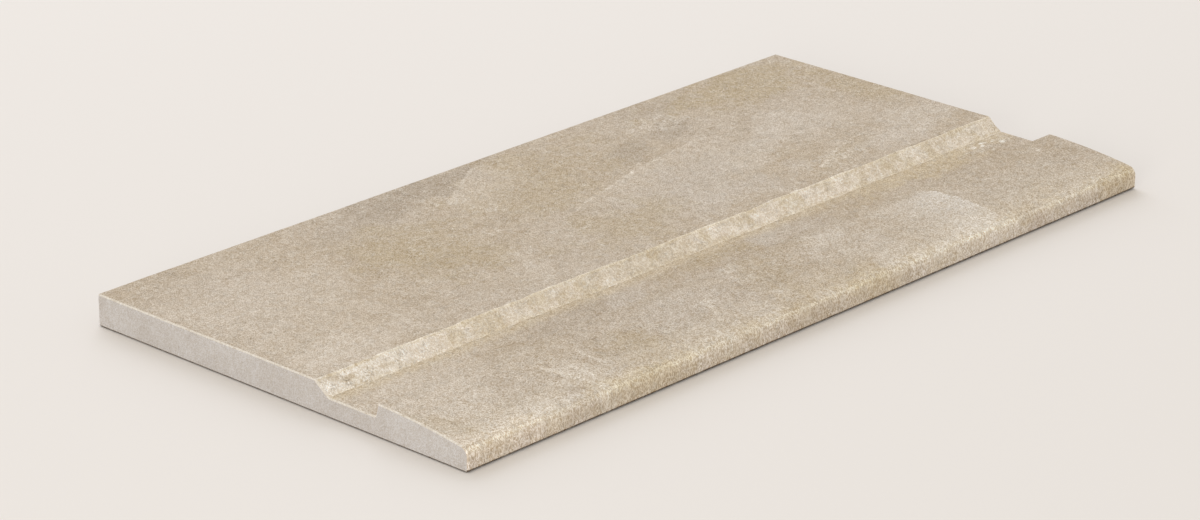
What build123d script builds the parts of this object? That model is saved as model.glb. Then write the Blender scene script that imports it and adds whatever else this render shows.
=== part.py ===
from build123d import *

import os

# Porcelain pool coping tile. One fired piece with the same section along its whole length:
# a flat deck, a bevel down to a finger channel, and a crowned lip with a rounded nose.
# X runs along the length, -Y points to the pool, +Y to the terrace, and Z is up.
# The origin is the middle of the bed face, which lies on the pool's edge beam.
# Sizes are in millimetres.

# Overall size
LENGTH = 600.0
WIDTH = 300.0
THICKNESS = 20.0

# Finger channel, cut into the top between the deck and the lip
CHANNEL_DEPTH = 8.0
CHANNEL_FLOOR = 37.0
BEVEL_RUN = 10.0
RISER_RUN = 2.0

# Lip between the channel and the water: as high as the deck at its tip, falling to the nose,
# and crowned over the straight line between the two
LIP_WIDTH = 68.5
LIP_DROP = 6.2
CROWN_RISE = 1.2

# Rounded edges along the length
BEVEL_CREST_RADIUS = 2.0
BEVEL_TOE_RADIUS = 1.2
RISER_FOOT_RADIUS = 1.2
LIP_TIP_RADIUS = 1.0
NOSE_TOP_RADIUS = 5.5

# Ground bevel on the sharp edges of the deck and of both sawn ends
ARRIS = 0.8

# Pressed bevel on the lower edges of the nose and the back
LOWER_BEVEL = 1.0

# Bed: a low raised field under the tile, with a plain margin round it
BED_MARGIN = 12.0
BED_RISE = 0.6


def section():
    """Cross-section of the tile over its bed, as seen looking along the length: Y across, Z up."""
    back = WIDTH / 2
    nose = -WIDTH / 2
    lip_tip = nose + LIP_WIDTH
    riser_foot = lip_tip + RISER_RUN
    bevel_toe = riser_foot + CHANNEL_FLOOR
    bevel_crest = bevel_toe + BEVEL_RUN
    channel_level = THICKNESS - CHANNEL_DEPTH
    nose_top = THICKNESS - LIP_DROP

    rounded_corners = [
        ((bevel_crest, THICKNESS), BEVEL_CREST_RADIUS),
        ((bevel_toe, channel_level), BEVEL_TOE_RADIUS),
        ((riser_foot, channel_level), RISER_FOOT_RADIUS),
        ((lip_tip, THICKNESS), LIP_TIP_RADIUS),
        ((nose, nose_top), NOSE_TOP_RADIUS),
    ]
    bevelled_corners = [
        ((nose, BED_RISE), LOWER_BEVEL),
        ((back, BED_RISE), LOWER_BEVEL),
        ((back, THICKNESS), ARRIS),
    ]

    with BuildSketch(Plane.YZ) as outline:
        with BuildLine():
            Polyline(
                (nose, nose_top),
                (nose, BED_RISE),
                (back, BED_RISE),
                (back, THICKNESS),
                (bevel_crest, THICKNESS),
                (bevel_toe, channel_level),
                (riser_foot, channel_level),
                (lip_tip, THICKNESS),
            )
            SagittaArc((nose, nose_top), (lip_tip, THICKNESS), CROWN_RISE)
        make_face()
        for corner, radius in rounded_corners:
            fillet(outline.vertices().sort_by_distance(corner)[0], radius)
        for corner, size in bevelled_corners:
            chamfer(outline.vertices().sort_by_distance(corner)[0], size)
    return outline.sketch


def coping_tile():
    """The section drawn out to the tile's length, with the upper edges of both ends ground, on its bed."""
    tile = extrude(section(), LENGTH / 2, dir=(1, 0, 0), both=True)
    sawn_ends = tile.faces().filter_by(Axis.X).sort_by(Axis.X)
    end_edges = sawn_ends[0].edges() + sawn_ends[-1].edges()
    upper_edges = [edge for edge in end_edges if edge.center().Z > BED_RISE + LOWER_BEVEL]
    tile = chamfer(upper_edges, ARRIS)
    bed = Box(
        LENGTH - 2 * BED_MARGIN,
        WIDTH - 2 * BED_MARGIN,
        BED_RISE,
        align=(Align.CENTER, Align.CENTER, Align.MIN),
    )
    return tile + bed


os.makedirs("parts", exist_ok=True)
export_step(coping_tile(), "parts/coping_tile.step")
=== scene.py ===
# %% [markdown]
# # A porcelain pool coping tile
#
# The tile edges a swimming pool. It is one fired piece: a flat deck, a rough bevel down to a finger channel,
# and a crowned lip with a rounded nose over the water. The CAD model gives its true size and section.
# This lesson loads that model, dresses it with the fine relief of a stone mould, and gives it its stone look.

# %% Load the CAD frame
import math

import bpy
import numpy as np
from mathutils import Matrix, Vector, noise


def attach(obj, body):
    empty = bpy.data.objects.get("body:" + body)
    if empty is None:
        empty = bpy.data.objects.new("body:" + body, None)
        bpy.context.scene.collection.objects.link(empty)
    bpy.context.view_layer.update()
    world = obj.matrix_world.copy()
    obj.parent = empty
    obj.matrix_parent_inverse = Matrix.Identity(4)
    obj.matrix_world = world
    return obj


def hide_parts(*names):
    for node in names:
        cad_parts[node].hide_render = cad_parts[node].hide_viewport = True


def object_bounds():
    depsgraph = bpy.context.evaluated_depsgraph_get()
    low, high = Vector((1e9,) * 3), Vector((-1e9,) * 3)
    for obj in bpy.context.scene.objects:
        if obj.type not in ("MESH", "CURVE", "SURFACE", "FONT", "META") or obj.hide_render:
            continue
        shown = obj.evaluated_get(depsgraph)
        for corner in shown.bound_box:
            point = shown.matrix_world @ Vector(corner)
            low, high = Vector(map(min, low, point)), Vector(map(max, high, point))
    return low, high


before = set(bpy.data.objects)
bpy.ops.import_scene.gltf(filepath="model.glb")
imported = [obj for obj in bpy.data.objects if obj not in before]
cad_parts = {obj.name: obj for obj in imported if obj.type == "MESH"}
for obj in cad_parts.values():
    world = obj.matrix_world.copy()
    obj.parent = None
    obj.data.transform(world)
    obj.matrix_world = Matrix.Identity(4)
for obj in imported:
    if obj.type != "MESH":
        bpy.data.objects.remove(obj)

MM = 0.001
cad_low, cad_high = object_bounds()
length, width, thickness = cad_high - cad_low
print("CAD box in mm:", [round(side / MM, 2) for side in (length, width, thickness)])

# %% [markdown]
# ## The camera
#
# A product photographer stands well back with a long lens, so the tile's edges stay almost parallel.
# The lens could be guessed by eye, but a fit of the tile's straight edges gives the angles, the distance and
# the lens, and then every part of the render can be laid over the same part of the photograph.

# %% Set up the camera
PICTURE_WIDTH = 1200
SENSOR = 36.0
FOCAL_PIXELS = 4106.4
AZIMUTH, ELEVATION, ROLL = -47.18, 21.46, 0.30
DISTANCE = 2485.8 * MM
AIM_ACROSS, AIM_UP = -24.2 * MM, -3.5 * MM


def photo_camera():
    """A camera on a sphere round the tile, aimed a little to the left of the middle of its bed."""
    azimuth, elevation, roll = (math.radians(angle) for angle in (AZIMUTH, ELEVATION, ROLL))
    back = Vector((
        math.sin(azimuth) * math.cos(elevation),
        -math.cos(azimuth) * math.cos(elevation),
        math.sin(elevation),
    ))
    level = Vector((0, 0, 1)).cross(back).normalized()
    upright = back.cross(level)
    right = level * math.cos(roll) + upright * math.sin(roll)
    up = upright * math.cos(roll) - level * math.sin(roll)

    data = bpy.data.cameras.new("photo_camera")
    data.sensor_width = SENSOR
    data.lens = SENSOR * FOCAL_PIXELS / PICTURE_WIDTH
    camera = bpy.data.objects.new("photo_camera", data)
    bpy.context.scene.collection.objects.link(camera)
    turned = Matrix((right, up, back)).transposed()
    place = right * AIM_ACROSS + up * AIM_UP + back * DISTANCE
    camera.matrix_world = Matrix.Translation(place) @ turned.to_4x4()
    bpy.context.scene.camera = camera
    return data


print("lens in mm:", round(photo_camera().lens, 1))

# %% [markdown]
# ## The section
#
# A mould presses the tile, so one section runs along its whole length. The CAD solid has that section
# already, but its flats are single faces, too few points to carry any relief. Cutting them up with a
# modifier would leave facets on the rounded edges. So the section is drawn again from the same sizes, with
# points only as far apart as each stretch needs: close together on the rough bevel, far apart on the bed.

# %% Corners of the section
CHANNEL_DEPTH = 8.0 * MM
CHANNEL_FLOOR = 37.0 * MM
BEVEL_RUN = 10.0 * MM
RISER_RUN = 2.0 * MM
LIP_WIDTH = 68.5 * MM
LIP_DROP = 6.2 * MM
CROWN_RISE = 1.2 * MM
ARRIS = 0.8 * MM
LOWER_BEVEL = 1.0 * MM
BED_MARGIN = 12.0 * MM
BED_RISE = 0.6 * MM

BACK = width / 2
NOSE = -width / 2
LIP_TIP = NOSE + LIP_WIDTH
RISER_FOOT = LIP_TIP + RISER_RUN
BEVEL_TOE = RISER_FOOT + CHANNEL_FLOOR
BEVEL_CREST = BEVEL_TOE + BEVEL_RUN
CHANNEL_LEVEL = thickness - CHANNEL_DEPTH

nose_foot = Vector((NOSE, BED_RISE + LOWER_BEVEL))
nose_under = Vector((NOSE + LOWER_BEVEL, BED_RISE))
nose_top = Vector((NOSE, thickness - LIP_DROP))
back_under = Vector((BACK - LOWER_BEVEL, BED_RISE))
back_foot = Vector((BACK, BED_RISE + LOWER_BEVEL))
back_arris = Vector((BACK, thickness - ARRIS))
deck_back = Vector((BACK - ARRIS, thickness))
crest = Vector((BEVEL_CREST, thickness))
toe = Vector((BEVEL_TOE, CHANNEL_LEVEL))
foot = Vector((RISER_FOOT, CHANNEL_LEVEL))
tip = Vector((LIP_TIP, thickness))

chord = nose_top - tip
crown_radius = (chord.length ** 2 / 4 + CROWN_RISE ** 2) / (2 * CROWN_RISE)
into_tile = Vector((-chord.y, chord.x)).normalized()
crown_centre = tip.lerp(nose_top, 0.5) + into_tile * (crown_radius - CROWN_RISE)


def crown(y):
    """Point of the lip's crown at a place between its tip and its nose."""
    return Vector((y, crown_centre.y + math.sqrt(crown_radius ** 2 - (y - crown_centre.x) ** 2)))


print("crown radius in mm:", round(crown_radius / MM, 1))

# %% [markdown]
# The section starts under the nose and goes along the bed, up the back, over the deck, bevel, channel and
# lip, and down the nose. Each stretch also says what its surface is: the sawn porcelain body, the printed
# stone face, the split bevel, or a ground arris. That choice becomes the material of the faces that leave
# from it. The bed is drawn level with its margin here. It stops short of both ends, so it is let down to
# the ground later, section by section.

# %% Helpers for the section
def rounded(before, corner, after, radius, steps):
    """Points of the arc that rounds a corner between two straight stretches."""
    to_before = (before - corner).normalized()
    to_after = (after - corner).normalized()
    half_angle = to_before.angle(to_after) / 2
    reach = radius / math.tan(half_angle)
    centre = corner + (to_before + to_after).normalized() * radius / math.sin(half_angle)
    first = (corner + to_before * reach - centre).normalized()
    last = (corner + to_after * reach - centre).normalized()
    return [centre + first.slerp(last, step / steps) * radius for step in range(steps + 1)]


def straight(first, last, gap):
    """Points between two ends of a flat, without the ends themselves."""
    parts = max(1, round((last - first).length / gap))
    return [first.lerp(last, part / parts) for part in range(1, parts)]


print("helpers for the section ready")

# %% Draw the section
BODY, STONE, BEVEL, GROUND = range(4)
CREST_RADIUS, TOE_RADIUS = 2.0 * MM, 1.2 * MM
FOOT_RADIUS, TIP_RADIUS = 1.2 * MM, 1.0 * MM
NOSE_TOP_RADIUS = 5.5 * MM
# Steps of each rounded corner
CREST_STEPS, TOE_STEPS, FOOT_STEPS, TIP_STEPS, NOSE_STEPS = 5, 3, 4, 5, 12
# Distances between the points on flats
WIDE_GAP, MIDDLE_GAP, CLOSE_GAP, FINE_GAP = 36 * MM, 4 * MM, 1.6 * MM, 0.5 * MM
# Strip of the deck along the bevel, which has close points
DECK_RIM = 12 * MM
# How far the sides of the bed lean
BED_SIDE = 0.1 * MM

crest_arc = rounded(deck_back, crest, toe, CREST_RADIUS, CREST_STEPS)
toe_arc = rounded(crest, toe, foot, TOE_RADIUS, TOE_STEPS)
foot_arc = rounded(toe, foot, tip, FOOT_RADIUS, FOOT_STEPS)
tip_arc = rounded(foot, tip, crown(LIP_TIP - 2 * TIP_RADIUS), TIP_RADIUS, TIP_STEPS)
nose_top_arc = rounded(crown(NOSE + NOSE_TOP_RADIUS), nose_top, nose_foot, NOSE_TOP_RADIUS, NOSE_STEPS)
deck_rim = crest_arc[0] + Vector((DECK_RIM, 0))
margin_front = Vector((NOSE + BED_MARGIN, BED_RISE))
margin_back = Vector((BACK - BED_MARGIN, BED_RISE))
bed_front = margin_front + Vector((BED_SIDE, 0))
bed_back = margin_back - Vector((BED_SIDE, 0))
crown_places = np.arange(tip_arc[-1].x - CLOSE_GAP, nose_top_arc[0].x + CLOSE_GAP / 2, -CLOSE_GAP)

stretches = [
    (BODY, [nose_under, margin_front]),
    (BODY, [bed_front] + straight(bed_front, bed_back, WIDE_GAP) + [bed_back]),
    (BODY, [margin_back, back_under]),
    (BODY, [back_foot] + straight(back_foot, back_arris, MIDDLE_GAP)),
    (GROUND, [back_arris]),
    (STONE, [deck_back] + straight(deck_back, deck_rim, MIDDLE_GAP)),
    (STONE, [deck_rim] + straight(deck_rim, crest_arc[0], CLOSE_GAP)),
    (BEVEL, crest_arc + straight(crest_arc[-1], toe_arc[0], FINE_GAP) + toe_arc[:-1]),
    (STONE, toe_arc[-1:] + straight(toe_arc[-1], foot_arc[0], CLOSE_GAP)),
    (STONE, foot_arc + straight(foot_arc[-1], tip_arc[0], CLOSE_GAP)),
    (STONE, tip_arc + [crown(y) for y in crown_places]),
    (STONE, nose_top_arc + straight(nose_top_arc[-1], nose_foot, CLOSE_GAP)),
    (STONE, [nose_foot]),
]
section = np.array([point for _, points in stretches for point in points])
section_finish = np.array([finish for finish, points in stretches for _ in points])

along = np.roll(section, -1, 0) - np.roll(section, 1, 0)
along /= np.linalg.norm(along, axis=1)[:, None]
outward = np.stack([along[:, 1], -along[:, 0]], axis=1)
print("section points:", len(section))

# %% [markdown]
# ## The relief
#
# The mould is taken from split stone, so the face has soft swells, the bevel is rough, and its crest and
# toe wander. A sculptor would brush this in. Here Blender's own noise functions do it, because they give the
# same stone every time the script runs. Only what is a few millimetres wide is shaped in the mesh, and finer
# grain is left to the material.

# %% Shape the relief
SWELL_HEIGHT, SWELL_SIZE = 0.14 * MM, 45 * MM
PIT_HEIGHT, PIT_SIZE = 0.06 * MM, 6 * MM
LUMP_HEIGHT, LUMP_SIZE = 0.55 * MM, 13 * MM
CHIP_HEIGHT, CHIP_SIZE = 0.2 * MM, 3.6 * MM
# How much weaker and how much finer each further layer of noise is
NOISE_FADE, NOISE_STEP = 0.9, 2.0


def swell(place, size, octaves):
    """Layered noise of about -1 to 1, with features of the given size."""
    return noise.fractal(place / size, NOISE_FADE, NOISE_STEP, octaves)


def relief(x, y, z, finish):
    """Height of the face over the plain section."""
    place = Vector((x, y, z))
    if finish == STONE:
        swells = swell(place, SWELL_SIZE, octaves=4) * SWELL_HEIGHT
        return swells + swell(place, PIT_SIZE, octaves=2) * PIT_HEIGHT
    if finish == BEVEL:
        lumps = swell(place, LUMP_SIZE, octaves=5) * LUMP_HEIGHT
        chips = abs(swell(place, CHIP_SIZE, octaves=2)) * CHIP_HEIGHT
        return lumps - chips
    return 0.0


print("relief in the middle of the deck, in mm:", round(relief(0, 0, thickness, STONE) / MM, 3))

# %% [markdown]
# The bevel's crest and toe wander as lines, so the points near a line have to move together. Each point of
# the section takes a share of the wander that falls off with its distance from the line. At both ends the
# section shrinks by the arris, except on its underside.

# %% Lay the sections along the tile
STATION_GAP = 1.25 * MM
CREST_WANDER, CREST_WAVE = 1.3 * MM, 38 * MM
TOE_WANDER, TOE_WAVE = 0.8 * MM, 30 * MM
LINE_OCTAVES = 4
PULL_REACH = 9 * MM
UNDER_CHANNEL = CHANNEL_LEVEL - 1 * MM
UNDER_SIDES = BED_RISE + LOWER_BEVEL - 0.1 * MM


def pull(line):
    """How much each point of the section follows a line along the bevel: 1 on it, 0 well away from it."""
    away = np.abs(section[:, 0] - line) / PULL_REACH
    on_face = section[:, 1] > UNDER_CHANNEL
    return np.where(on_face, np.clip(1 - away, 0, 1) ** 2, 0)


inner = np.linspace(-length / 2 + ARRIS, length / 2 - ARRIS, round(length / STATION_GAP))
stations = [(-length / 2, ARRIS)] + [(x, 0.0) for x in inner] + [(length / 2, ARRIS)]
crest_pull, toe_pull = pull(BEVEL_CREST), pull(BEVEL_TOE)
above_bed = section[:, 1] > UNDER_SIDES
on_bed = ~above_bed & (section[:, 0] > margin_front.x) & (section[:, 0] < margin_back.x)
points = []
for x, ground_off in stations:
    crest_line = swell(Vector((x, BEVEL_CREST, 0)), CREST_WAVE, LINE_OCTAVES) * CREST_WANDER
    toe_line = swell(Vector((x, BEVEL_TOE, 0)), TOE_WAVE, LINE_OCTAVES) * TOE_WANDER
    lift = np.array([relief(x, *spot, finish) for spot, finish in zip(section, section_finish)])
    across = section + outward * (lift - ground_off * above_bed)[:, None]
    across[:, 0] += crest_pull * crest_line + toe_pull * toe_line
    if abs(x) < length / 2 - BED_MARGIN:
        across[on_bed, 1] = 0.0
    points += [(x, *spot) for spot in across]
print("vertices:", len(points))

# %% [markdown]
# The mesh is a skin between neighbouring sections, with one flat face on each sawn end. The last ring of
# faces at each end is the ground arris. It stops at the nose, where the stone runs on round the edge, and
# below, where nobody grinds it and it keeps the look of the body.

# %% Build the mesh
SHARP_ANGLE = math.radians(38)
GROUND_ABOVE = 5 * MM


def tile_mesh():
    """The skin of the tile, with the finish of each face as its material."""
    count = len(section)
    ring_finish = np.where(section[:, 1] > GROUND_ABOVE, GROUND, BODY)
    ring_finish[(section_finish == STONE) & (section[:, 0] < NOSE + NOSE_TOP_RADIUS)] = STONE
    faces, finishes = [], []
    for station in range(len(stations) - 1):
        here, there = station * count, (station + 1) * count
        at_end = station in (0, len(stations) - 2)
        finishes += list(ring_finish if at_end else section_finish)
        for spot in range(count):
            ahead = (spot + 1) % count
            faces.append((here + spot, here + ahead, there + ahead, there + spot))
    last = (len(stations) - 1) * count
    faces.append(tuple(range(count - 1, -1, -1)))
    faces.append(tuple(range(last, last + count)))
    finishes += [BODY, BODY]

    mesh = bpy.data.meshes.new("stone_coping_tile")
    mesh.from_pydata(points, [], faces)
    mesh.polygons.foreach_set("material_index", np.array(finishes, np.int32))
    mesh.polygons.foreach_set("use_smooth", np.ones(len(faces), bool))
    mesh.set_sharp_from_angle(angle=SHARP_ANGLE)
    mesh.validate()
    mesh.update()
    return mesh


tile = bpy.data.objects.new("stone_coping_tile", tile_mesh())
bpy.context.scene.collection.objects.link(tile)
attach(tile, "root")
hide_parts("coping_tile")
tile.data.calc_loop_triangles()
print("triangles:", len(tile.data.loop_triangles))

# %% [markdown]
# ## Tools for the finishes
#
# A finish is a small network of nodes. It could be wired by hand in the Shader Editor, but the same few
# moves come back all the time, so they get short helpers: one adds a node, and the others add the commonest
# kinds and hand back the socket to go on from.

# %% Node helpers
def feed(tree, socket, value):
    """Links a socket into an input, or sets the input to a plain value."""
    if isinstance(value, bpy.types.NodeSocket):
        tree.links.new(value, socket)
    else:
        socket.default_value = value


def add_node(tree, kind, inputs=None, **settings):
    """A node with its inputs fed and its settings made."""
    made = tree.nodes.new(kind)
    for name, value in settings.items():
        setattr(made, name, value)
    for name, value in (inputs or {}).items():
        feed(tree, made.inputs[name], value)
    return made


def maths(tree, operation, *values):
    """One Math node, as the socket of its result."""
    made = add_node(tree, "ShaderNodeMath", operation=operation)
    for socket, value in zip(made.inputs, values):
        feed(tree, socket, value)
    return made.outputs[0]


def vector_maths(tree, operation, *values, output="Vector"):
    """One Vector Math node, as the socket of its result."""
    made = add_node(tree, "ShaderNodeVectorMath", operation=operation)
    for socket, value in zip(made.inputs, values):
        feed(tree, socket, value)
    return made.outputs[output]


def ease(tree, value, low, high, start=0.0, end=1.0):
    """Goes smoothly from start to end while the value goes from low to high."""
    made = add_node(
        tree, "ShaderNodeMapRange",
        {"Value": value, "From Min": low, "From Max": high, "To Min": start, "To Max": end},
        interpolation_type="SMOOTHSTEP",
    )
    return made.outputs["Result"]


def clouds(tree, place, size, detail, roughness):
    """Noise of about 0.3 to 0.7 round 0.5, with features of the given size."""
    made = add_node(
        tree, "ShaderNodeTexNoise",
        {"Vector": place, "Scale": 1 / size, "Detail": detail, "Roughness": roughness},
    )
    return made.outputs["Fac"]


def noise_mask(tree, place, character, limits):
    """A mask made of noise, from its size, detail and roughness, and from what ease takes after a value."""
    return ease(tree, clouds(tree, place, *character), *limits)


# A Mix node has sockets for each kind of data, so those for colours are found by number
MIX_SHARE, MIX_FIRST, MIX_SECOND, MIX_RESULT = 0, 6, 7, 2


def mixed(tree, share, first, second):
    """The second colour over the first, by its share."""
    made = add_node(tree, "ShaderNodeMix", data_type="RGBA")
    feed(tree, made.inputs[MIX_SHARE], share)
    feed(tree, made.inputs[MIX_FIRST], first)
    feed(tree, made.inputs[MIX_SECOND], second)
    return made.outputs[MIX_RESULT]


def tone(red, green, blue):
    """A colour written in screen levels of 0 to 255, as the linear values that sockets take."""
    levels = [level / 255 for level in (red, green, blue)]
    # The curve of screen colours: straight near black, and a power above
    return [v / 12.92 if v <= 0.04045 else ((v + 0.055) / 1.055) ** 2.4 for v in levels] + [1.0]


print("helpers ready")

# %% Helpers for groups and materials
SOCKETS = {float: "NodeSocketFloat", tuple: "NodeSocketVector", list: "NodeSocketColor"}


def new_group(name, inputs, outputs):
    """An empty node group with named sockets, and the sockets of its input and output nodes."""
    group = bpy.data.node_groups.new(name, "ShaderNodeTree")
    for label, default in inputs.items():
        socket = group.interface.new_socket(label, in_out="INPUT", socket_type=SOCKETS[type(default)])
        socket.default_value = default
    for label, kind in outputs.items():
        group.interface.new_socket(label, in_out="OUTPUT", socket_type=SOCKETS[kind])
    return group, group.nodes.new("NodeGroupInput").outputs, group.nodes.new("NodeGroupOutput").inputs


def use_group(tree, group, inputs):
    """A placed node group with its inputs fed, as the sockets of its results."""
    made = add_node(tree, "ShaderNodeGroup", node_tree=group)
    for name, value in inputs.items():
        feed(tree, made.inputs[name], value)
    return made.outputs


def new_material(name):
    """A material with a bare Principled shader, and the tile's own coordinates in metres."""
    material = bpy.data.materials.new(name)
    material.use_nodes = True
    tree = material.node_tree
    place = add_node(tree, "ShaderNodeTexCoord").outputs["Object"]
    return material, tree, place, tree.nodes["Principled BSDF"]


print("socket kinds:", len(SOCKETS))

# %% [markdown]
# ## Sandy grain
#
# Close up, every face of the tile is sandy: fine light and dark grains, pale fibres a few millimetres long,
# and small ochre specks. The printed face, the bevel, the arris and the sawn body all show it at their own
# strength, so it is one node group that takes a plain colour and hands back the grained colour. Plain noise
# gives the dots. The felt of fine curls, the fibres and the flecks are the places where noise passes through
# its middle value: those make thin wandering lines, and for fibres and flecks a coarser noise cuts the lines
# into short pieces. A grain differs from its neighbours by about as many levels in red, green and blue, and
# blue is the lowest of the three, so it is shaded by a larger share.

# %% Dots and lines
# Noise keeps to about a quarter on either side of its middle value
NOISE_MIDDLE, TO_FULL_SWING = 0.5, 4.0
LINE_DETAIL, LINE_ROUGHNESS = 2.0, 0.6


def swing(group, value):
    """Noise as a swing of about -1 to 1 round nought."""
    return maths(group, "MULTIPLY", maths(group, "SUBTRACT", value, NOISE_MIDDLE), TO_FULL_SWING)


def thin_lines(group, place, size, half_width):
    """Thin wandering lines, where noise passes through its middle value."""
    wandering = clouds(group, place, size, LINE_DETAIL, LINE_ROUGHNESS)
    off_middle = maths(group, "ABSOLUTE", maths(group, "SUBTRACT", wandering, NOISE_MIDDLE))
    return ease(group, off_middle, 0.0, half_width, 1.0, 0.0)


print("swing of noise:", TO_FULL_SWING)

# %% Group for the grain
PALE_FIBRE = tone(241, 229, 211)
WHITE_FLECK = tone(250, 241, 228)
OCHRE_SPECK = tone(172, 144, 100)
DARK_PIT = tone(124, 102, 72)
GRAIN_TINT = (0.80, 0.99, 1.28)
NO_CHANGE = (1.0, 1.0, 1.0)
OTHER_PLACE = (7.3, 1.9, 4.1)
# Size of the noise, in grains except for the clusters, and its detail and roughness
DOT_NOISE, BLOTCH_NOISE = (1.0, 3.0, 0.8), (7.0, 4.0, 0.7)
SPECK_NOISE, CRACK_NOISE = (2.2, 3.0, 0.75), (5.0, 3.0, 0.7)
BUNDLE_NOISE, STREWN_NOISE = (6.0, 3.0, 0.7), (6.0, 3.0, 0.75)
ROUND_FLECK_NOISE, CLUSTER_NOISE = (1.4, 1.0, 0.5), (45 * MM, 4.0, 0.7)
# Noise values where a mark begins and is full, and its strength at both where that isn't 0 and 1
SPECK_LIMITS, CRACK_LIMITS = (0.54, 0.66), (0.5, 0.66)
BUNDLE_LIMITS, STREWN_LIMITS = (0.42, 0.6, 0.15, 1.0), (0.45, 0.55)
ROUND_FLECK_LIMITS, CLUSTER_LIMITS = (0.64, 0.74), (0.4, 0.64, 0.6, 1.0)
# Size of the thin lines in grains, and their half width in noise values
CURL_LINES, FIBRE_LINES = (1.7, 0.08), (3.0, 0.05)
FLECK_LINES, PIT_LINES = (2.6, 0.075), (2.6, 0.05)
CURL_MEAN, DOT_SHARE, GRAIN_HEIGHT = 0.33, 0.3, 0.4


def make_grain_group():
    """A colour with all the marks of the grain over it, and the height of the grain for a bump."""
    group, given, result = new_group(
        "Sandy grain",
        {
            "Position": (0.0, 0.0, 0.0), "Colour": [0.5, 0.5, 0.5, 1.0], "Grain size": 1.0 * MM,
            "Grain": 0.1, "Mottle": 0.05, "Fibres": 0.3, "Flecks": 0.1, "Specks": 0.2, "Pits": 0.2,
        },
        {"Colour": list, "Height": float},
    )
    by_grain = vector_maths(group, "DIVIDE", given["Position"], given["Grain size"])
    elsewhere = vector_maths(group, "ADD", by_grain, OTHER_PLACE)

    dots = swing(group, clouds(group, by_grain, *DOT_NOISE))
    curls = maths(group, "SUBTRACT", thin_lines(group, by_grain, *CURL_LINES), CURL_MEAN)
    grains = maths(group, "MULTIPLY_ADD", dots, DOT_SHARE, curls)
    shade = maths(group, "MULTIPLY", grains, given["Grain"])
    blotches = swing(group, clouds(group, by_grain, *BLOTCH_NOISE))
    shade = maths(group, "MULTIPLY_ADD", blotches, given["Mottle"], shade)
    tint = vector_maths(group, "SCALE", GRAIN_TINT)
    feed(group, tint.node.inputs["Scale"], shade)
    factor = vector_maths(group, "ADD", tint, NO_CHANGE)
    colour = vector_maths(group, "MULTIPLY", given["Colour"], factor)

    specks = noise_mask(group, elsewhere, SPECK_NOISE, SPECK_LIMITS)
    colour = mixed(group, maths(group, "MULTIPLY", specks, given["Specks"]), colour, OCHRE_SPECK)

    cracks = noise_mask(group, elsewhere, CRACK_NOISE, CRACK_LIMITS)
    sunk = maths(group, "MULTIPLY", thin_lines(group, elsewhere, *PIT_LINES), cracks)
    colour = mixed(group, maths(group, "MULTIPLY", sunk, given["Pits"]), colour, DARK_PIT)

    bundles = noise_mask(group, by_grain, BUNDLE_NOISE, BUNDLE_LIMITS)
    fibres = maths(group, "MULTIPLY", thin_lines(group, by_grain, *FIBRE_LINES), bundles)
    cluster = noise_mask(group, given["Position"], CLUSTER_NOISE, CLUSTER_LIMITS)
    fibre_share = maths(group, "MULTIPLY", maths(group, "MULTIPLY", fibres, cluster), given["Fibres"])
    colour = mixed(group, fibre_share, colour, PALE_FIBRE)

    strewn = noise_mask(group, elsewhere, STREWN_NOISE, STREWN_LIMITS)
    flecks = maths(group, "MULTIPLY", thin_lines(group, elsewhere, *FLECK_LINES), strewn)
    round_flecks = noise_mask(group, elsewhere, ROUND_FLECK_NOISE, ROUND_FLECK_LIMITS)
    flecks = maths(group, "MAXIMUM", flecks, round_flecks)
    colour = mixed(group, maths(group, "MULTIPLY", flecks, given["Flecks"]), colour, WHITE_FLECK)

    feed(group, result["Colour"], colour)
    raised = maths(group, "MULTIPLY_ADD", grains, GRAIN_HEIGHT, fibres)
    feed(group, result["Height"], maths(group, "SUBTRACT", raised, sunk))
    return group


grain_group = make_grain_group()
print("group:", grain_group.name, "with", len(grain_group.nodes), "nodes")

# %% [markdown]
# ## Bands along the tile
#
# The mould and the glaze leave bands that follow the section: ochre where glaze gathers at the bevel's toe
# and crest, and paler worn strips on the nose. Each is a distance across the tile, with an edge that noise
# makes ragged. The stone and the bevel both have such bands, so this is a group too.

# %% Group for the bands
BAND_NOISE = (9 * MM, 4.0, 0.7)
# Shares of the half width where a band begins to fade and where it ends, and its strength at both
BAND_EDGE = (0.25, 1.0, 1.0, 0.0)


def make_band_group():
    """A mask for a ragged band along the tile, from its middle and half width."""
    group, given, result = new_group(
        "Ragged band",
        {"Position": (0.0, 0.0, 0.0), "Middle": 0.0, "Half width": 2.0 * MM, "Raggedness": 1.0 * MM},
        {"Mask": float},
    )
    across = add_node(group, "ShaderNodeSeparateXYZ", {"Vector": given["Position"]}).outputs["Y"]
    waver = swing(group, clouds(group, given["Position"], *BAND_NOISE))
    shifted = maths(group, "MULTIPLY_ADD", waver, given["Raggedness"], across)
    away = maths(group, "ABSOLUTE", maths(group, "SUBTRACT", shifted, given["Middle"]))
    share = maths(group, "DIVIDE", away, given["Half width"])
    feed(group, result["Mask"], ease(group, share, *BAND_EDGE))
    return group


band_group = make_band_group()
print("group:", band_group.name)

# %% [markdown]
# ## Stains and layers
#
# The print copies one piece of limestone, with its ochre stains, grey clouds and thin layers. A designer
# would place these on the artwork one by one, and so does this lesson. A stain is a soft ellipse. A layer has
# a sharp edge along a bowed line, often with a pale vein on it, and fades out on the left of the way from
# its start to its end. Noise bends both until no edge looks drawn.

# %% Group for stains
FLAT = (1.0, 1.0, 0.0)
MIDDLE_GREY = (0.5, 0.5, 0.5)
WARP_SIZE, WARP_DETAIL, WARP_ROUGHNESS = 38 * MM, 5.0, 0.62
STAIN_BEND = (3.0, 3.0, 0.0)
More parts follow.
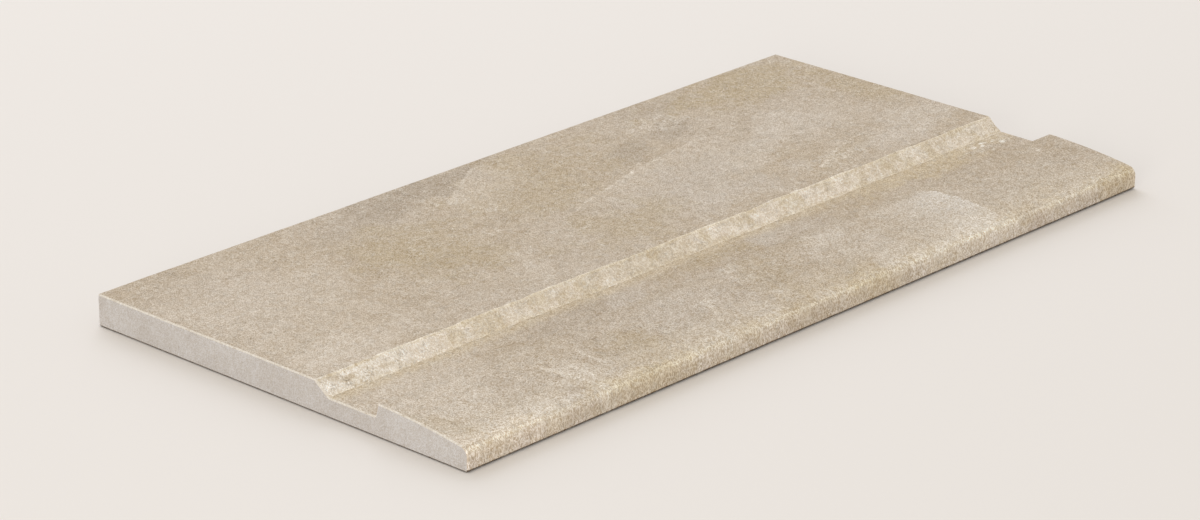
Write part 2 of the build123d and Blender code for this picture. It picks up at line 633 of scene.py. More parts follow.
# Shares of the half size where a stain begins to fade and where it ends, and its strength at both
STAIN_EDGE = (0.45, 1.15, 1.0, 0.0)


def make_stain_group():
    """A mask for a soft ellipse on the tile, bent by noise."""
    group, given, result = new_group(
        "Soft stain",
        {"Position": (0.0, 0.0, 0.0), "Centre": (0.0, 0.0, 0.0), "Half size": (0.1, 0.1, 1.0), "Turn": 0.0},
        {"Mask": float},
    )
    warp = add_node(group, "ShaderNodeTexNoise", {
        "Vector": given["Position"], "Scale": 1 / WARP_SIZE, "Detail": WARP_DETAIL,
        "Roughness": WARP_ROUGHNESS,
    })
    bend = vector_maths(group, "SUBTRACT", warp.outputs["Color"], MIDDLE_GREY)
    from_centre = vector_maths(group, "SUBTRACT", given["Position"], given["Centre"])
    flat = vector_maths(group, "MULTIPLY", from_centre, FLAT)
    turned = add_node(
        group, "ShaderNodeVectorRotate", {"Vector": flat, "Angle": given["Turn"]},
        rotation_type="Z_AXIS", invert=True,
    ).outputs["Vector"]
    scaled = vector_maths(group, "DIVIDE", turned, given["Half size"])
    bent = vector_maths(group, "ADD", scaled, vector_maths(group, "MULTIPLY", bend, STAIN_BEND))
    reach = vector_maths(group, "LENGTH", bent, output="Value")
    feed(group, result["Mask"], ease(group, reach, *STAIN_EDGE))
    return group


stain_group = make_stain_group()
print("group:", stain_group.name)

# %% Group for layers
UPWARD = (0.0, 0.0, 1.0)
# A share of the way times what is left of it is a quarter half way, and this makes it one
ARCH_SCALE = 4.0
WAVER_NOISE, LAYER_WAVER = (14 * MM, 5.0, 0.65), 9 * MM
BREAK_NOISE, BREAK_LIMITS = (12 * MM, 6.0, 0.8), (0.38, 0.62)
LAYER_EDGE = 1.0 * MM
# Shares of the way, of the vein's half width and of the layer's reach between which each one fades
END_FADE = (0.0, 0.2)
VEIN_FADE, LAYER_FADE = (0.15, 1.0, 1.0, 0.0), (0.1, 1.0, 1.0, 0.0)


def make_layer_group():
    """Masks for a layer with a sharp bowed edge on one side, and for the broken vein on that edge."""
    group, given, result = new_group(
        "Layer edge",
        {
            "Position": (0.0, 0.0, 0.0), "Start": (0.0, 0.0, 0.0), "End": (0.1, 0.0, 0.0),
            "Bow": 0.0, "Half width": 1.0 * MM, "Reach": 30.0 * MM,
        },
        {"Vein": float, "Layer": float},
    )
    run = vector_maths(group, "SUBTRACT", given["End"], given["Start"])
    ahead = vector_maths(group, "NORMALIZE", run)
    left = vector_maths(group, "CROSS_PRODUCT", UPWARD, ahead)
    from_start = vector_maths(group, "SUBTRACT", given["Position"], given["Start"])
    travelled = vector_maths(group, "DOT_PRODUCT", from_start, ahead, output="Value")
    share = maths(group, "DIVIDE", travelled, vector_maths(group, "LENGTH", run, output="Value"))
    to_go = maths(group, "SUBTRACT", 1.0, share)
    arch = maths(group, "MULTIPLY", maths(group, "MULTIPLY", share, to_go), ARCH_SCALE)
    aside = vector_maths(group, "DOT_PRODUCT", from_start, left, output="Value")
    off = maths(group, "SUBTRACT", aside, maths(group, "MULTIPLY", arch, given["Bow"]))
    waver = maths(group, "SUBTRACT", clouds(group, given["Position"], *WAVER_NOISE), NOISE_MIDDLE)
    off = maths(group, "MULTIPLY_ADD", waver, LAYER_WAVER, off)
    ends = maths(group, "MULTIPLY", ease(group, share, *END_FADE), ease(group, to_go, *END_FADE))

    from_line = maths(group, "DIVIDE", maths(group, "ABSOLUTE", off), given["Half width"])
    line = maths(group, "MULTIPLY", ease(group, from_line, *VEIN_FADE), ends)
    broken = noise_mask(group, given["Position"], BREAK_NOISE, BREAK_LIMITS)
    feed(group, result["Vein"], maths(group, "MULTIPLY", line, broken))

    side = ease(group, off, -LAYER_EDGE, LAYER_EDGE)
    fading = ease(group, maths(group, "DIVIDE", off, given["Reach"]), *LAYER_FADE)
    feed(group, result["Layer"], maths(group, "MULTIPLY", maths(group, "MULTIPLY", side, fading), ends))
    return group


layer_group = make_layer_group()
print("group:", layer_group.name)

# %% [markdown]
# ## Stone face
#
# The deck, channel, lip and nose carry the printed limestone. Wide clouds drift between warm grey and beige.
# Then come the placed stains and layers, each mixed in by its mask, then the bands and the stretches of the
# nose, then white chips and streaks over all of them, and last the grain. Places on the tile are in
# millimetres from its middle, along and across.

# %% Stains of the print
PRINT_TONES = {
    "ochre": tone(182, 161, 126),
    "honey": tone(206, 185, 147),
    "lilac": tone(202, 189, 174),
    "umber": tone(173, 156, 135),
    "pale": tone(214, 199, 180),
    "pearl": tone(218, 206, 191),
    "chip": tone(240, 231, 216),
}
# Tone, centre, half sizes, turn in degrees, strength
STAINS = [
    ("pale", (-252, 60), (75, 110), 0, 0.35),
    ("pale", (-285, -90), (90, 95), 0, 0.75),
    ("pale", (-240, -16), (60, 14), 0, 0.40),
    ("ochre", (-119, 62), (55, 45), 50, 0.50),
    ("umber", (-270, 122), (36, 24), 0, 0.20),
    ("umber", (-115, 126), (42, 24), 20, 0.50),
    ("umber", (-50, 136), (66, 18), 10, 0.80),
    ("umber", (158, 134), (36, 16), 0, 0.40),
    ("ochre", (20, 100), (95, 42), 20, 0.45),
    ("umber", (82, 87), (26, 15), 30, 0.60),
    ("umber", (132, 100), (28, 15), 10, 0.60),
    ("ochre", (230, 122), (90, 32), 0, 0.70),
    ("ochre", (288, 62), (22, 45), 0, 0.50),
    ("lilac", (70, 20), (80, 35), 15, 0.45),
    ("pearl", (175, 46), (75, 30), 10, 0.32),
    ("ochre", (-5, 4), (62, 34), 10, 0.50),
    ("lilac", (105, -10), (50, 18), 0, 0.45),
    ("pearl", (235, -8), (75, 20), 8, 0.35),
    ("umber", (-130, -60), (42, 14), 0, 0.30),
    ("lilac", (-86, -66), (22, 10), 0, 0.55),
    ("ochre", (-2, -55), (48, 12), 0, 0.50),
    ("lilac", (80, -58), (48, 16), 0, 0.50),
    ("honey", (205, -54), (75, 14), 0, 0.50),
    ("ochre", (-145, -125), (24, 26), 0, 0.45),
    ("ochre", (-290, -125), (10, 26), 30, 0.30),
    ("pearl", (-250, -146), (22, 12), 0, 0.45),
    ("lilac", (-80, -112), (45, 34), 0, 0.45),
    ("ochre", (-5, -115), (34, 34), 0, 0.30),
    ("pearl", (70, -112), (34, 34), 0, 0.35),
    ("umber", (255, -110), (36, 24), 0, 0.15),
    ("pearl", (190, -125), (130, 42), 0, 0.22),
    ("pale", (-205, -50), (62, 10), 0, 0.50),
]
print("stains:", len(STAINS), "in", len(PRINT_TONES), "tones")

# %% Chips, and streaks down the nose
# Tone, centre, half sizes, turn in degrees, strength
CHIPS = [
    ("chip", (263, -50), (3.4, 2.0), 10, 0.85),
    ("chip", (270, -51), (2.6, 1.6), 30, 0.90),
    ("chip", (274, -48), (3.4, 2.2), 0, 0.95),
    ("chip", (281, -50), (2.2, 1.4), 20, 0.70),
    ("chip", (285, -56), (3.4, 2.2), 60, 0.90),
    ("chip", (270, -60), (2.6, 1.2), 0, 0.60),
    ("chip", (251, -53), (2.6, 1.2), 0, 0.50),
    ("chip", (271, -94), (3.0, 1.0), 0, 0.40),
    ("chip", (153, 124), (4.0, 1.1), -78, 0.45),
    ("chip", (157, 116), (5.0, 1.2), -78, 0.55),
    ("chip", (163, 108), (3.0, 1.0), -70, 0.40),
    ("chip", (147, 113), (3.0, 1.0), -80, 0.40),
    ("chip", (-42, -8), (3.2, 1.2), -78, 0.55),
    ("chip", (-75, 54), (3.0, 1.0), -78, 0.45),
    ("chip", (-190, -148), (1.2, 12.0), 0, 0.40),
    ("chip", (-114, -148), (1.3, 13.0), 0, 0.45),
    ("chip", (-87, -148), (1.2, 14.0), 0, 0.55),
    ("chip", (6, -148), (1.0, 10.0), 0, 0.30),
    ("chip", (77, -148), (1.0, 12.0), 0, 0.30),
    ("chip", (98, -148), (1.0, 12.0), 0, 0.30),
]
print("chips and streaks:", len(CHIPS))

# %% Layers of the print
# Start, end, bow, half width of the vein, its strength, tone of the layer, its reach, its strength
LAYERS = [
    ((150, 76), (-22, 39), -6, 1.8, 0.85, "pale", 26, 0.32),
    ((8, 147), (-66, 102), 0, 1.6, 0.50, "pale", 50, 0.40),
    ((228, 8), (132, -28), -7, 1.7, 1.00, "ochre", 20, 0.20),
    ((166, -152), (160, -80), -9, 0.9, 0.30, "pearl", 75, 0.90),
    ((35, -43), (40, -80), 0, 1.0, 0.20, "lilac", 26, 0.45),
    ((-204, -100), (-185, -152), 0, 3.4, 1.00, "pale", 20, 0.40),
    ((-188, -98), (-182, -140), 0, 2.6, 0.90, "pale", 8, 0.30),
    ((-170, -100), (-168, -134), 0, 2.2, 0.90, "pale", 6, 0.20),
    ((-56, -98), (-78, -136), 0, 2.6, 0.80, "pale", 8, 0.20),
    ((-168, 108), (-128, 18), 0, 1.0, 0.00, "ochre", 60, 0.30),
    ((-84, 32), (-108, -32), 0, 6.0, 0.40, "pale", 14, 0.20),
    ((242, 14), (280, 20), 0, 1.4, 0.60, "lilac", 14, 0.30),
    ((38, -76), (64, -98), 0, 3.0, 0.60, "lilac", 12, 0.20),
]
print("layers:", len(LAYERS))

# %% Patches of white flecks
# Centre and half sizes
FLECK_PATCHES = [
    ((140, 116), (34, 14)),
    ((-155, 24), (9, 5)),
    ((-170, 41), (7, 4)),
    ((-45, 110), (24, 16)),
    ((-40, 84), (14, 14)),
    ((-73, 53), (10, 8)),
    ((-196, -132), (22, 24)),
    ((-22, -97), (14, 14)),
    ((-18, -125), (10, 8)),
    ((-67, -116), (10, 14)),
    ((56, -94), (26, 11)),
    ((272, -52), (26, 12)),
    ((-240, -142), (60, 8)),
    ((165, -16), (30, 18)),
]
print("patches of flecks:", len(FLECK_PATCHES))

# %% [markdown]
# The print is built up in the order that a printer would lay the inks: the ground, the stains, the layers
# with their veins, and the bands. Each step takes a colour and hands on the next one.

# %% Ground of the print
WARM_GREY = tone(195, 178, 157)
WARM_BEIGE = tone(190, 171, 146)
LIGHT_MOTTLE = tone(209, 193, 173)
DEEP_MOTTLE = tone(176, 159, 137)
DRIFT_NOISE, DRIFT_LIMITS = (95 * MM, 5.0, 0.6), (0.38, 0.62)
LIGHT_NOISE, DEEP_NOISE = (17 * MM, 5.0, 0.68), (24 * MM, 5.0, 0.68)
MOTTLE_LIMITS = (0.52, 0.7, 0.0, 0.5)


def drifting_clouds(tree, place):
    """Warm grey that drifts to beige, with lighter and deeper mottles."""
    drift = noise_mask(tree, place, DRIFT_NOISE, DRIFT_LIMITS)
    colour = mixed(tree, drift, WARM_GREY, WARM_BEIGE)
    light = noise_mask(tree, place, LIGHT_NOISE, MOTTLE_LIMITS)
    colour = mixed(tree, light, colour, LIGHT_MOTTLE)
    deep = noise_mask(tree, place, DEEP_NOISE, MOTTLE_LIMITS)
    return mixed(tree, deep, colour, DEEP_MOTTLE)


print("drift of the ground in mm:", round(DRIFT_NOISE[0] / MM))

# %% Steps of the print
VEIN_TONE = tone(230, 217, 199)
FLECKS_EVERYWHERE, FLECKS_IN_PATCH = 0.22, 0.65


def on_tile(spot):
    """A place on the tile in millimetres, along and across, as a point in metres."""
    return (spot[0] * MM, spot[1] * MM, 0.0)


def stain(tree, place, centre, half_size, turn=0):
    """The mask of one stain, from its layout in millimetres and degrees."""
    return use_group(tree, stain_group, {
        "Position": place, "Centre": on_tile(centre), "Turn": math.radians(turn),
        "Half size": (half_size[0] * MM, half_size[1] * MM, 1.0),
    })["Mask"]


def placed_stains(tree, place, colour, stains):
    """A colour with stains of the print over it."""
    for kind, centre, half_size, turn, strength in stains:
        share = maths(tree, "MULTIPLY", stain(tree, place, centre, half_size, turn), strength)
        colour = mixed(tree, share, colour, PRINT_TONES[kind])
    return colour


def placed_layers(tree, place, colour):
    """A colour with the layers of the print and their veins over it."""
    for start, end, bow, half_width, vein_strength, kind, reach, strength in LAYERS:
        masks = use_group(tree, layer_group, {
            "Position": place, "Start": on_tile(start), "End": on_tile(end), "Bow": bow * MM,
            "Half width": half_width * MM, "Reach": reach * MM,
        })
        colour = mixed(tree, maths(tree, "MULTIPLY", masks["Layer"], strength), colour, PRINT_TONES[kind])
        colour = mixed(tree, maths(tree, "MULTIPLY", masks["Vein"], vein_strength), colour, VEIN_TONE)
    return colour


def band(tree, place, colour, across, strength, band_tone):
    """A colour with a band over it along the whole tile, by its middle, half width and raggedness."""
    middle, half_width, raggedness = across
    mask = use_group(tree, band_group, {
        "Position": place, "Middle": middle, "Half width": half_width, "Raggedness": raggedness,
    })["Mask"]
    return mixed(tree, maths(tree, "MULTIPLY", mask, strength), colour, band_tone)


def strewn_flecks(tree, place):
    """How strong the white flecks are: a few everywhere, and many in the placed patches."""
    share = FLECKS_EVERYWHERE
    for centre, half_size in FLECK_PATCHES:
        patch = maths(tree, "MULTIPLY", stain(tree, place, centre, half_size), FLECKS_IN_PATCH)
        share = maths(tree, "MAXIMUM", patch, share)
    return share


print("veins:", sum(1 for layer in LAYERS if layer[4] > 0))

# %% [markdown]
# ## Worn nose, with painted light on its front
#
# The nose takes the most wear. Its shoulder is pale, with ochre that comes and goes, a thin bright line runs
# along its top edge, and its front is lighter, greyer or warmer from one stretch to the next. The upright
# front is also painted paler than its stone, as painted light that stands in for the light falling on it.
# This could be painted on the mesh, but the mesh is too coarse for a line of a millimetre. So the wear and
# the painted light are bands, mixed in one over the other, and the stretches then shade whatever lies under
# them.

# %% Bands of the nose
SHOULDER_TONE, SHOULDER_OCHRE = tone(234, 221, 203), tone(216, 196, 162)
# The front of the nose is painted paler than its stone, as painted light; its ochre comes and goes along the
# nose
NOSE_LIT_TONE, NOSE_LIT_OCHRE = tone(224, 212, 199), tone(219, 204, 182)
EDGE_TONE = tone(248, 235, 212)
SHOULDER_PLACE, EDGE_PLACE = NOSE + 3.5 * MM, NOSE + 1.6 * MM
# Middle, half width and raggedness
LIP_BAND, SHOULDER_BAND = (SHOULDER_PLACE, 30 * MM, 2 * MM), (SHOULDER_PLACE, 7 * MM, 2 * MM)
NOSE_BAND, EDGE_BAND = (NOSE, 4 * MM, 1 * MM), (EDGE_PLACE, 1.4 * MM, 0.6 * MM)
LIP_SHARE, NOSE_SHARE = 0.30, 0.75
# How the tones and the bright line change along the nose
SHOULDER_NOISE, SHOULDER_LIMITS = (34 * MM, 4.0, 0.65), (0.44, 0.58, 0.2, 0.7)
NOSE_NOISE, NOSE_LIMITS = (27 * MM, 5.0, 0.75), (0.4, 0.64)
EDGE_NOISE, EDGE_LIMITS = (22 * MM, 4.0, 0.7), (0.4, 0.56, 0.15, 0.65)
# Heights between which the wear and the bright line set in, and the wear's strength at both
WORN_HEIGHTS, EDGE_HEIGHTS = (5 * MM, 11 * MM, 0.0, 0.60), (8.5 * MM, 10 * MM)


def worn_nose(tree, place, colour):
    """A colour with the worn lip and shoulder, the painted light on the front of the nose, and its bright
    edge over it.
    """
    height = add_node(tree, "ShaderNodeSeparateXYZ", {"Vector": place}).outputs["Z"]
    change = noise_mask(tree, place, SHOULDER_NOISE, SHOULDER_LIMITS)
    shoulder_tone = mixed(tree, change, SHOULDER_TONE, SHOULDER_OCHRE)
    colour = band(tree, place, colour, LIP_BAND, LIP_SHARE, shoulder_tone)
    # Painted light: the upright front of the nose in paler tones
    ochre_share = noise_mask(tree, place, NOSE_NOISE, NOSE_LIMITS)
    lit_nose_tone = mixed(tree, ochre_share, NOSE_LIT_TONE, NOSE_LIT_OCHRE)
    colour = band(tree, place, colour, NOSE_BAND, NOSE_SHARE, lit_nose_tone)
    worn = ease(tree, height, *WORN_HEIGHTS)
    colour = band(tree, place, colour, SHOULDER_BAND, worn, shoulder_tone)
    edge = noise_mask(tree, place, EDGE_NOISE, EDGE_LIMITS)
    on_edge = maths(tree, "MULTIPLY", edge, ease(tree, height, *EDGE_HEIGHTS))
    return band(tree, place, colour, EDGE_BAND, on_edge, EDGE_TONE)


print("shoulder in mm from the middle:", round(SHOULDER_PLACE / MM, 1))

# %% Stretches of the nose
# What the nose's stretches do to red, green and blue
STRETCH_SHADES = {
    "light": (1.07, 1.06, 1.06, 1.0),
    "pearl": (1.09, 1.11, 1.14, 1.0),
    "grey": (0.93, 0.92, 0.93, 1.0),
    "umber": (0.91, 0.89, 0.86, 1.0),
    "ochre": (0.94, 0.91, 0.82, 1.0),
}
# Shade, middle along the tile, half length
NOSE_STRETCHES = [
    ("light", -282, 46),
    ("grey", -212, 18),
    ("ochre", -160, 46),
    ("umber", -12, 46),
    ("ochre", 40, 18),
    ("pearl", 140, 56),
    ("grey", 202, 20),
    ("ochre", 286, 30),
]
# Half size of the stretches across the tile
NOSE_DEPTH = 14
PLAIN_SHADE = (1.0, 1.0, 1.0, 1.0)


def nose_stretches(tree, place, colour):
    """A colour with the paler, greyer and warmer stretches of the nose over it."""
    shade = PLAIN_SHADE
    for kind, middle, half_length in NOSE_STRETCHES:
        mask = stain(tree, place, (middle, NOSE / MM), (half_length, NOSE_DEPTH))
        shade = mixed(tree, mask, shade, STRETCH_SHADES[kind])
    return vector_maths(tree, "MULTIPLY", colour, shade)


print("stretches of the nose:", len(NOSE_STRETCHES))

# %% [markdown]
# ## Painted shade at the foot, and matt ending
#
# The contact shade along the foot of the tile, on the rim of the margin round the bed, is painted in dark
# brown. It could be a strip of faces with its own material, but a mask by height that keeps to the rim leaves
# the mesh alone.
# All the finishes end in the same way, with a matt Principled shader whose bump is the height of the grain,
# so that ending is one helper.

# %% Helpers for the foot and the ending
# Dark brown painted shade along the foot, where the tile sits close to the floor
FOOT_SHADE_TONE = tone(90, 66, 36)
FOOT_SHADE_FADE, FOOT_SHADE_INSET = 0.5 * MM, 2.0 * MM
GRAIN_LOW, GRAIN_HIGH = -0.3, 0.8
MATT_SPECULAR = 0.3


def painted_foot_shade(tree, place, colour, top):
    """A colour with dark brown painted shade over it, from the rim of the bed's margin up to a height."""
    apart = add_node(tree, "ShaderNodeSeparateXYZ", {"Vector": place}).outputs
    under = ease(tree, apart["Z"], top - FOOT_SHADE_FADE, top, 1.0, 0.0)
    past_end = maths(tree, "SUBTRACT", maths(tree, "ABSOLUTE", apart["X"]), length / 2)
    past_side = maths(tree, "SUBTRACT", maths(tree, "ABSOLUTE", apart["Y"]), width / 2)
    past_rim = maths(tree, "MAXIMUM", past_end, past_side)
    on_rim = ease(tree, past_rim, -FOOT_SHADE_INSET - FOOT_SHADE_FADE, -FOOT_SHADE_INSET)
    return mixed(tree, maths(tree, "MULTIPLY", under, on_rim), colour, FOOT_SHADE_TONE)


def matt_ending(tree, shader, grained, bump_height, rough, smooth):
    """Feeds the grained colour, its bump and its roughness into the material's shader."""
    feed(tree, shader.inputs["Base Color"], grained["Colour"])
    bump = add_node(tree, "ShaderNodeBump", {"Height": grained["Height"], "Distance": bump_height})
    feed(tree, shader.inputs["Normal"], bump.outputs["Normal"])
    roughness = ease(tree, grained["Height"], GRAIN_LOW, GRAIN_HIGH, rough, smooth)
    feed(tree, shader.inputs["Roughness"], roughness)
    shader.inputs["Specular IOR Level"].default_value = MATT_SPECULAR


print("height of the wash's fade in mm:", FOOT_SHADE_FADE / MM)

# %% Material for the stone face
# The channel is paler towards the bevel's toe and darker towards the foot of the riser
TOE_TONE, RISER_TONE = tone(214, 195, 164), tone(176, 158, 134)
TOE_BAND, RISER_BAND = (BEVEL_TOE, 12 * MM, 2 * MM), (RISER_FOOT, 14 * MM, 2 * MM)
TOE_SHARE, RISER_SHARE = 0.65, 0.30
# Height up to which painted shade darkens the foot of the nose
NOSE_FOOT_SHADE = 2.05 * MM
# The grain is twice as long upright, as on the front of the nose
UPRIGHT_GRAIN = (1.0, 1.0, 0.5)
DECK_GRAIN, NOSE_GRAIN = 0.64, 0.70
STONE_GRAIN = {
    "Grain size": 0.98 * MM, "Mottle": 0.11, "Fibres": 0.9, "Specks": 0.03, "Pits": 0.15,
}
STONE_BUMP, STONE_ROUGHNESS = 0.25 * MM, (0.85, 0.68)


def stone_face():
    """The printed limestone of the deck, channel, lip and nose."""
    material, tree, place, shader = new_material("stone_face")
    colour = drifting_clouds(tree, place)
    colour = placed_stains(tree, place, colour, STAINS)
    colour = placed_layers(tree, place, colour)
    colour = worn_nose(tree, place, colour)
    colour = band(tree, place, colour, TOE_BAND, TOE_SHARE, TOE_TONE)
    colour = band(tree, place, colour, RISER_BAND, RISER_SHARE, RISER_TONE)
    colour = nose_stretches(tree, place, colour)
    colour = placed_stains(tree, place, colour, CHIPS)
    # Painted shade along the foot of the nose
    colour = painted_foot_shade(tree, place, colour, NOSE_FOOT_SHADE)
    across = add_node(tree, "ShaderNodeSeparateXYZ", {"Vector": place}).outputs["Y"]
    grain = ease(tree, across, BEVEL_TOE, NOSE, DECK_GRAIN, NOSE_GRAIN)
    flecks = strewn_flecks(tree, place)
    upright = vector_maths(tree, "MULTIPLY", place, UPRIGHT_GRAIN)
    grained = use_group(tree, grain_group, {
        "Position": upright, "Colour": colour, "Grain": grain, "Flecks": flecks, **STONE_GRAIN,
    })
    matt_ending(tree, shader, grained, STONE_BUMP, *STONE_ROUGHNESS)
    return material


stone = stone_face()
print("material:", stone.name, "with", len(stone.node_tree.nodes), "nodes")

# %% [markdown]
# ## Split bevel
#
# The bevel looks split by hand: bright cream with white patches and ochre grains. Its tones are paler than
# the split stone alone, as painted light that stands in for the light falling on it from the front. Towards
# the near end it is rougher, with rust spots and dark slits, and a pale line runs along its crest and its
# toe. It uses the same groups as the stone face, at a coarser grain.

# %% Layout of the bevel
# Tones of the split bevel, painted paler than its stone as painted light from the front
BEVEL_LIT_TONE, BEVEL_SHADE = tone(246, 233, 216), tone(228, 212, 187)
BEVEL_WHITE, BEVEL_LINE = tone(253, 246, 235), tone(236, 220, 190)
BEVEL_TONES = {"white": BEVEL_WHITE, "ochre": tone(208, 191, 163), "rust": tone(184, 158, 116)}
# Tone, centre, half sizes, strength
BEVEL_STAINS = [
    ("white", (-280, -37), (70, 30), 0.5),
    ("ochre", (-40, -37), (60, 30), 0.5),
    ("ochre", (-130, -37), (40, 30), 0.2),
    ("ochre", (225, -37), (90, 30), 0.15),
    ("rust", (-288, -33), (6, 3), 0.45),
    ("rust", (-282, -37), (7, 2), 0.50),
    ("rust", (-266, -33), (8, 2), 0.40),
    ("rust", (-250, -38), (7, 2), 0.30),
]
SHADE_NOISE, SHADE_LIMITS = (20 * MM, 5.0, 0.7), (0.46, 0.6)
WHITE_NOISE, WHITE_LIMITS = (8 * MM, 4.0, 0.75), (0.54, 0.64, 0.0, 0.55)
LINE_INSET, LINE_HALF_WIDTH, LINE_RAGGEDNESS = 0.4 * MM, 1.0 * MM, 0.3 * MM
CREST_BAND = (BEVEL_CREST - LINE_INSET, LINE_HALF_WIDTH, LINE_RAGGEDNESS)
FOOT_BAND = (BEVEL_TOE + LINE_INSET, LINE_HALF_WIDTH, LINE_RAGGEDNESS)
CREST_SHARE, FOOT_SHARE = 0.5, 0.35
print("stains of the bevel:", len(BEVEL_STAINS))

# %% Material for the bevel
ROUGHER_FROM, ROUGHEST_AT = -170 * MM, -280 * MM
FEW_SLITS, MANY_SLITS = 0.25, 0.55
FEW_SPECKS, MANY_SPECKS = 0.1, 0.4
BEVEL_GRAIN = {
    "Grain size": 1.2 * MM, "Grain": 0.42, "Mottle": 0.12, "Fibres": 0.5, "Flecks": 0.35,
}
BEVEL_BUMP, BEVEL_ROUGHNESS = 0.25 * MM, (0.9, 0.72)


def split_bevel():
    """The rough face between the deck and the channel, bright from its pale stone and from painted light."""
    material, tree, place, shader = new_material("split_bevel")
    shaded = noise_mask(tree, place, SHADE_NOISE, SHADE_LIMITS)
    colour = mixed(tree, shaded, BEVEL_LIT_TONE, BEVEL_SHADE)
    white = noise_mask(tree, place, WHITE_NOISE, WHITE_LIMITS)
    colour = mixed(tree, white, colour, BEVEL_WHITE)
    for kind, centre, half_size, strength in BEVEL_STAINS:
        share = maths(tree, "MULTIPLY", stain(tree, place, centre, half_size), strength)
        colour = mixed(tree, share, colour, BEVEL_TONES[kind])
    colour = band(tree, place, colour, CREST_BAND, CREST_SHARE, BEVEL_LINE)
    colour = band(tree, place, colour, FOOT_BAND, FOOT_SHARE, BEVEL_LINE)
    along_tile = add_node(tree, "ShaderNodeSeparateXYZ", {"Vector": place}).outputs["X"]
    slits = ease(tree, along_tile, ROUGHER_FROM, ROUGHEST_AT, FEW_SLITS, MANY_SLITS)
    specks = ease(tree, along_tile, ROUGHER_FROM, ROUGHEST_AT, FEW_SPECKS, MANY_SPECKS)
    grained = use_group(tree, grain_group, {
        "Position": place, "Colour": colour, "Pits": slits, "Specks": specks, **BEVEL_GRAIN,
    })
    matt_ending(tree, shader, grained, BEVEL_BUMP, *BEVEL_ROUGHNESS)
    return material


bevel = split_bevel()
print("material:", bevel.name, "with", len(bevel.node_tree.nodes), "nodes")

# %% [markdown]
# ## Sawn body and ground arris
#
# Behind the print the porcelain is one plain warm grey, with fine specks and faint upright marks from the
# saw. Its sharp edges are ground off, which leaves a narrow pale line that breaks where a chip is missing.
# The marks of a saw could be a picture, but noise that is stretched upright looks the same and never repeats.

# %% Materials for the body and the arris
BODY_TONE, BODY_CLOUD = tone(211, 206, 202), tone(206, 200, 195)
ARRIS_TONE, ARRIS_CHIP = tone(228, 219, 206), tone(206, 193, 175)
BODY_NOISE, BODY_LIMITS = (30 * MM, 4.0, 0.6), (0.4, 0.6)
SAW_MARK = (9.0, 9.0, 0.6)
MARK_NOISE, MARK_LIMITS = (16 * MM, 3.0, 0.6), (0.5, 0.7, 0.0, 0.5)
MISSING_NOISE, MISSING_LIMITS = (7 * MM, 4.0, 0.7), (0.56, 0.68)
# Height up to which painted shade darkens the foot of the ends and the back
END_FOOT_SHADE = 1.15 * MM
BODY_GRAIN = {
    "Grain size": 0.9 * MM, "Grain": 0.25, "Mottle": 0.05, "Fibres": 0.12, "Flecks": 0.0, "Specks": 0.03,
    "Pits": 0.25,
}
BODY_BUMP, BODY_ROUGHNESS = 0.06 * MM, (0.8, 0.7)


def sawn_body():
    """The plain porcelain of the ends, the back and the underside."""
    material, tree, place, shader = new_material("sawn_body")
    drift = noise_mask(tree, place, BODY_NOISE, BODY_LIMITS)
    colour = mixed(tree, drift, BODY_TONE, BODY_CLOUD)
    stretched = vector_maths(tree, "MULTIPLY", place, SAW_MARK)
    marks = noise_mask(tree, stretched, MARK_NOISE, MARK_LIMITS)
    colour = mixed(tree, marks, colour, BODY_CLOUD)
    # Painted shade along the foot of the ends and the back
    colour = painted_foot_shade(tree, place, colour, END_FOOT_SHADE)
    grained = use_group(tree, grain_group, {"Position": place, "Colour": colour, **BODY_GRAIN})
    matt_ending(tree, shader, grained, BODY_BUMP, *BODY_ROUGHNESS)
    return material


def ground_arris():
    """The pale ground edge round the deck and the ends."""
    material, tree, place, shader = new_material("ground_arris")
    chips = noise_mask(tree, place, MISSING_NOISE, MISSING_LIMITS)
    colour = mixed(tree, chips, ARRIS_TONE, ARRIS_CHIP)
    grained = use_group(tree, grain_group, {"Position": place, "Colour": colour, **BODY_GRAIN})
    matt_ending(tree, shader, grained, BODY_BUMP, *BODY_ROUGHNESS)
    return material


body, arris = sawn_body(), ground_arris()
finishes_in_order = {BODY: body, STONE: stone, BEVEL: bevel, GROUND: arris}
for index in sorted(finishes_in_order):
    tile.data.materials.append(finishes_in_order[index])
print("materials on the tile:", [material.name for material in tile.data.materials])

# %% [markdown]
# ## Floor and light
#
# The tile lies on a pale studio floor under a wide, even light. Most of the light comes from the world, as
# from white walls all round. A large softbox behind the tile gives the soft shadow in front of the nose, and
# a small low one on the left fills the near end. The world is a little warm and the large softbox a little
# cool, so that together they are about neutral and add up to about one on the deck, and a colour looks as it
# is written.
#
# A white floor would throw too much light up at the tile's sides. So the Light Path node gives it its pale
# tone where the camera, a reflection or a view through something meets it, and a darker one for the light
# that it sends back to the tile.

# %% Floor
FLOOR_REACH = 6.0
FLOOR_TONE = tone(238, 232, 226)
FLOOR_BOUNCE = tone(208, 197, 184)
FLOOR_ROUGHNESS, FLOOR_SPECULAR = 0.9, 0.1


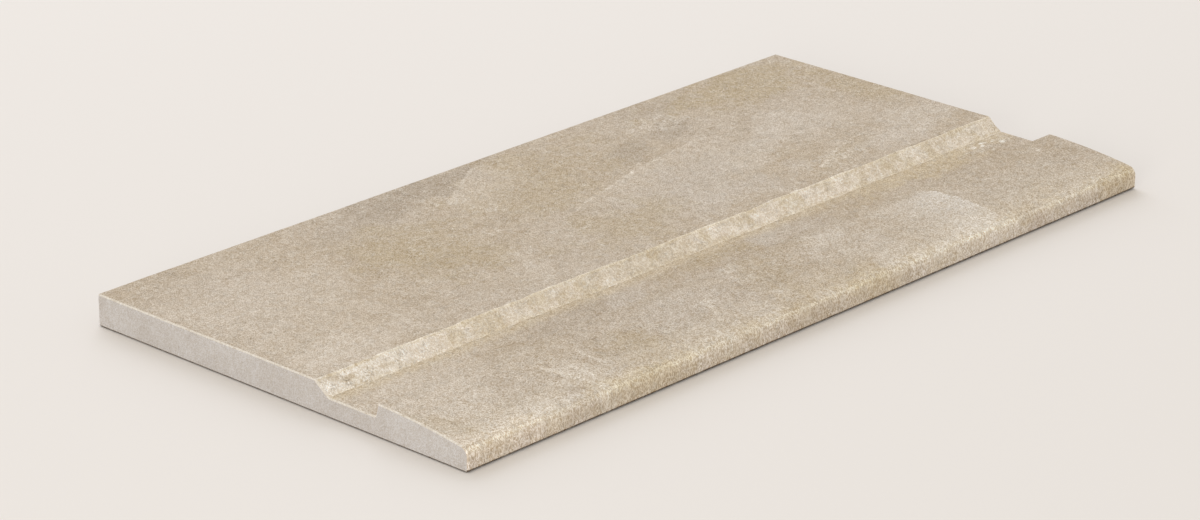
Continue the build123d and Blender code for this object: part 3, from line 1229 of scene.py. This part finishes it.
def studio_floor():
    """A flat square on the ground, wide enough to fill the picture."""
    mesh = bpy.data.meshes.new("floor")
    corners = [(-FLOOR_REACH, -FLOOR_REACH, 0), (FLOOR_REACH, -FLOOR_REACH, 0)]
    corners += [(FLOOR_REACH, FLOOR_REACH, 0), (-FLOOR_REACH, FLOOR_REACH, 0)]
    mesh.from_pydata(corners, [], [(0, 1, 2, 3)])
    floor = bpy.data.objects.new("floor", mesh)
    bpy.context.scene.collection.objects.link(floor)
    material, tree, _, shader = new_material("pale_floor")
    ray = add_node(tree, "ShaderNodeLightPath").outputs
    mirrored = maths(tree, "MAXIMUM", ray["Is Glossy Ray"], ray["Is Transmission Ray"])
    seen = maths(tree, "MAXIMUM", ray["Is Camera Ray"], mirrored)
    feed(tree, shader.inputs["Base Color"], mixed(tree, seen, FLOOR_BOUNCE, FLOOR_TONE))
    shader.inputs["Roughness"].default_value = FLOOR_ROUGHNESS
    shader.inputs["Specular IOR Level"].default_value = FLOOR_SPECULAR
    mesh.materials.append(material)
    return floor


print("floor:", studio_floor().name)

# %% Light
WORLD_STRENGTH = 0.72
WORLD_TINT = (1.015, 1.0, 0.96, 1.0)
COOL, PLAIN = (0.85, 0.89, 1.0), (1.0, 1.0, 1.0)
# Name, place in metres, size in metres, power in watts, tint
SOFTBOXES = [
    ("back_softbox", Vector((2.1, 3.8, 2.7)), 4.4, 131.0, COOL),
    ("front_softbox", Vector((-2.7, -1.2, 0.7)), 1.0, 22.0, PLAIN),
]


def studio_world():
    """The even light from all round."""
    world = bpy.data.worlds.new("studio")
    world.use_nodes = True
    background = world.node_tree.nodes["Background"]
    background.inputs["Color"].default_value = WORLD_TINT
    background.inputs["Strength"].default_value = WORLD_STRENGTH
    bpy.context.scene.world = world


def softbox(name, place, size, power, tint):
    """A square light of the given size in metres and power in watts, aimed at the middle of the tile."""
    data = bpy.data.lights.new(name, "AREA")
    data.size = size
    data.energy = power
    data.color = tint
    lamp = bpy.data.objects.new(name, data)
    lamp.location = place
    lamp.rotation_euler = place.to_track_quat("Z", "Y").to_euler()
    bpy.context.scene.collection.objects.link(lamp)


studio_world()
for name, place, size, power, tint in SOFTBOXES:
    softbox(name, place, size, power, tint)
    print("light:", name, "at", round(place.length, 2), "m")

# %% [markdown]
# ## Finish
#
# The colours are meant to be seen as they are written, so the view transform is Standard.

# %% Finish
bpy.context.scene.view_settings.view_transform = "Standard"
